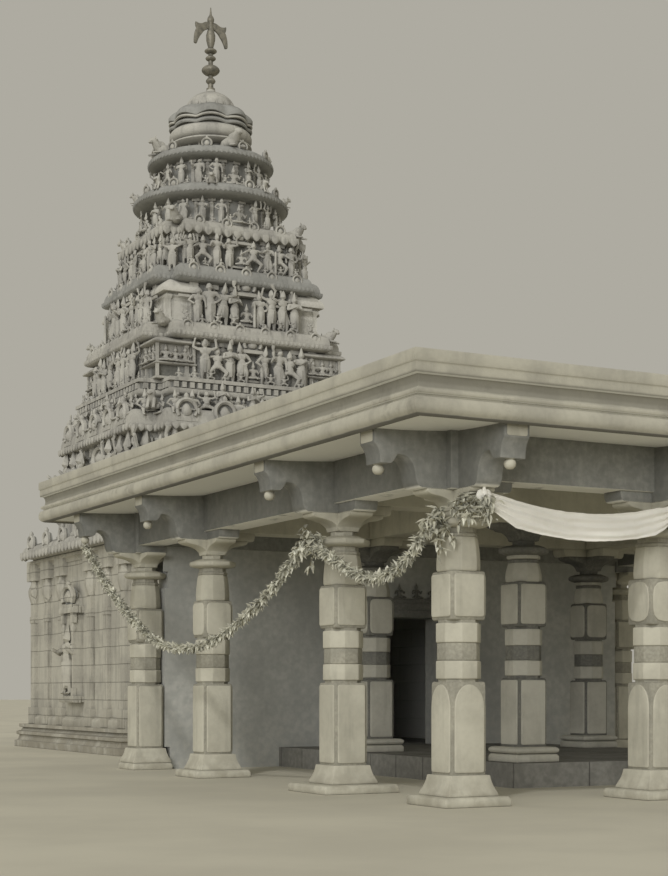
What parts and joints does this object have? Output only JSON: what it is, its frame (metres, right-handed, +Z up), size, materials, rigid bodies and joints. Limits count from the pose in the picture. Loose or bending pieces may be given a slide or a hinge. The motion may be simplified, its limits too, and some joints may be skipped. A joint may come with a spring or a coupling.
{
  "type": "hindu temple",
  "caption": "Hindu temple with an open pillared hall under a deep moulded eave, a closed vestibule and a square sanctum with a stepped stucco tower, lotus dome and finial.",
  "frame": {"origin": "ground level, under the middle of the whole building", "axes": "+Z up, the open hall's front faces -Y and the tower stands towards +Y; the building is symmetric about X = 0"},
  "size_m": [14.4, 26.68, 19.15],
  "materials": {
    "whitewash": "matte",
    "shaded_stone": "matte",
    "stucco": "matte",
    "paving": "matte",
    "brass": "weathered",
    "cloth": "matte",
    "garland": "matte"
  },
  "bodies": {
    "root": {"beam_back": "shaded_stone", "beam_front": "shaded_stone", "beam_left": "shaded_stone", "beam_mid_left": "whitewash", "beam_mid_right": "whitewash", "beam_right": "shaded_stone", "beam_second": "whitewash", "beam_third": "whitewash", "cloth_centre": "cloth", "cloth_left": "cloth", "cloth_right": "cloth", "eave_back_left": "whitewash", "eave_back_right": "whitewash", "eave_front": "whitewash", "eave_left": "whitewash", "eave_right": "whitewash", "finial_crest": "brass", "finial_pots": "brass", "garland_rope_far": "garland", "garland_rope_near": "garland", "pillar_back_left": "whitewash", "pillar_back_right": "whitewash", "pillar_front_left": "whitewash", "pillar_front_mid_left": "whitewash", "pillar_front_mid_right": "whitewash", "pillar_front_right": "whitewash", "pillar_second_left": "whitewash", "pillar_second_mid_left": "whitewash", "pillar_second_mid_right": "whitewash", "pillar_second_right": "whitewash", "pillar_third_left": "whitewash", "pillar_third_mid_left": "whitewash", "pillar_third_mid_right": "whitewash", "pillar_third_right": "whitewash", "raised_floor": "paving", "rear_wall_left": "whitewash", "rear_wall_lintel": "whitewash", "rear_wall_right": "whitewash", "roof_slab": "paving", "sanctum_front_left": "whitewash", "sanctum_front_right": "whitewash", "sanctum_lintel": "whitewash", "sanctum_plinth": "paving", "sanctum_wall_back": "whitewash", "sanctum_wall_left": "whitewash", "sanctum_wall_right": "whitewash", "tower_dome": "stucco", "tower_main_cornice": "whitewash", "tower_neck": "stucco", "tower_storey_1": "stucco", "tower_storey_2": "stucco", "tower_storey_3": "stucco", "tower_storey_4": "stucco", "tower_storey_5": "stucco", "tower_storey_6": "stucco", "tower_string_course": "stucco", "vestibule_floor": "paving", "vestibule_roof": "whitewash", "vestibule_wall_left": "whitewash", "vestibule_wall_right": "whitewash"}
  },
  "joints": []
}
